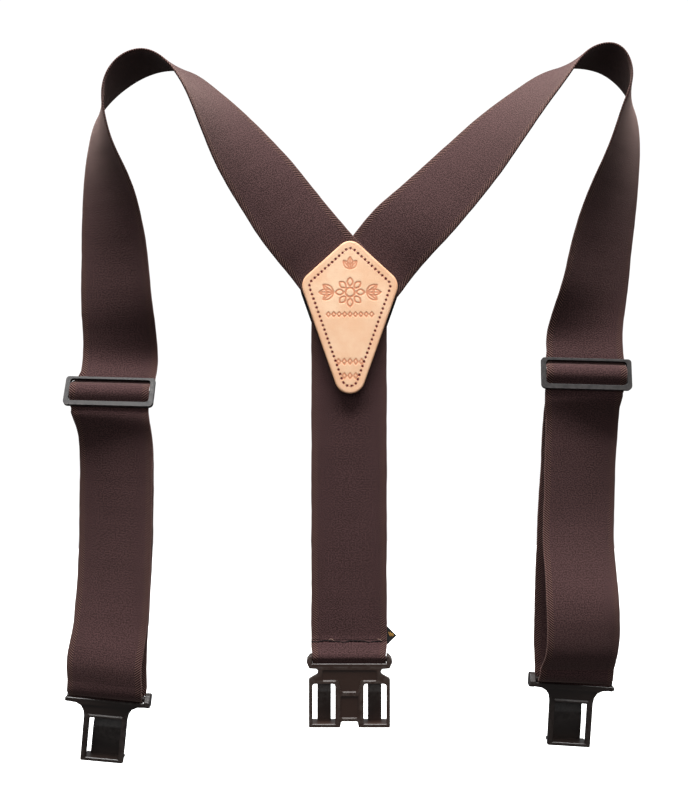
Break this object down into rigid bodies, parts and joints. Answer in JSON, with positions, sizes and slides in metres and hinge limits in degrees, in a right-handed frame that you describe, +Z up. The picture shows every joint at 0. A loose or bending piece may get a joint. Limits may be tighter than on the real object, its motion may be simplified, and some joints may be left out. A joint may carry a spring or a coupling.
{
  "type": "suspenders",
  "caption": "Work suspenders with a Y back: wide elastic webbing, a leather crossing patch, slide adjusters and plastic belt-hook clips.",
  "frame": {"origin": "on the back plane and the rear strap's centre line, level with the inside of the shoulder arches", "axes": "+X to the right seen from the outer face, -Y out of the outer face, +Z up as it hangs"},
  "size_m": [0.3815, 0.0588, 0.4616],
  "materials": {
    "webbing": "ribbed twill elastic webbing",
    "leather": "smooth satin vegetable-tanned",
    "backing": "dull, dark",
    "thread": "tan thread",
    "dark_thread": "dark brown thread",
    "slide_plastic": "satin gunmetal grey",
    "clip_plastic": "satin black-brown",
    "tag": "woven black tag with a gold mark"
  },
  "bodies": {
    "straps": {"leather_patch": "leather", "patch_backing": "backing", "patch_stitching": "thread", "rear_webbing": "webbing", "rear_fold_webbing": "webbing", "hem_stitching": "dark_thread", "label_tag": "tag", "left_shoulder_webbing": "webbing", "left_leg_webbing": "webbing", "right_shoulder_webbing": "webbing", "right_leg_webbing": "webbing"},
    "rear_clip": {"rear_clip": "clip_plastic"},
    "left_slide": {"left_slide": "slide_plastic", "left_slide_webbing": "webbing", "left_sewn_end_webbing": "webbing", "left_end_stitching": "dark_thread"},
    "left_fold": {"left_fold_webbing": "webbing", "left_loop_front_webbing": "webbing", "left_loop_back_webbing": "webbing"},
    "left_clip": {"left_front_clip": "clip_plastic"},
    "right_slide": {"right_slide": "slide_plastic", "right_slide_webbing": "webbing", "right_sewn_end_webbing": "webbing", "right_end_stitching": "dark_thread"},
    "right_fold": {"right_fold_webbing": "webbing", "right_loop_front_webbing": "webbing", "right_loop_back_webbing": "webbing"},
    "right_clip": {"right_front_clip": "clip_plastic"}
  },
  "joints": [
    {"name": "rear_clip_swing", "type": "hinge", "parent": "straps", "child": "rear_clip", "pos_m": [0.0002, -0.006, -0.3879], "axis": [1, 0, 0], "range_deg": [-15, 35]},
    {"name": "left_slide_adjust", "type": "slide", "parent": "straps", "child": "left_slide", "axis": [0, 0, 1], "range_m": [-0.06, 0.05], "deforming": ["left_leg_webbing"]},
    {"name": "left_clip_follow", "type": "slide", "parent": "left_slide", "child": "left_fold", "axis": [0, 0, 1], "range_m": [-0.025, 0.03], "deforming": ["left_loop_front_webbing", "left_loop_back_webbing"]},
    {"name": "left_clip_swing", "type": "hinge", "parent": "left_fold", "child": "left_clip", "pos_m": [-0.1593, -0.009, -0.4121], "axis": [0.9957, 0, -0.0924], "range_deg": [-8, 35]},
    {"name": "right_slide_adjust", "type": "slide", "parent": "straps", "child": "right_slide", "axis": [0, 0, 1], "range_m": [-0.06, 0.05], "deforming": ["right_leg_webbing"]},
    {"name": "right_clip_follow", "type": "slide", "parent": "right_slide", "child": "right_fold", "axis": [0, 0, 1], "range_m": [-0.025, 0.03], "deforming": ["right_loop_front_webbing", "right_loop_back_webbing"]},
    {"name": "right_clip_swing", "type": "hinge", "parent": "right_fold", "child": "right_clip", "pos_m": [0.1472, -0.008, -0.4021], "axis": [0.998, 0, -0.0628], "range_deg": [-8, 35]}
  ],
  "couplings": [
    {"joint": "left_clip_follow", "follows": "left_slide_adjust", "ratio": -0.5},
    {"joint": "right_clip_follow", "follows": "right_slide_adjust", "ratio": -0.5}
  ]
}
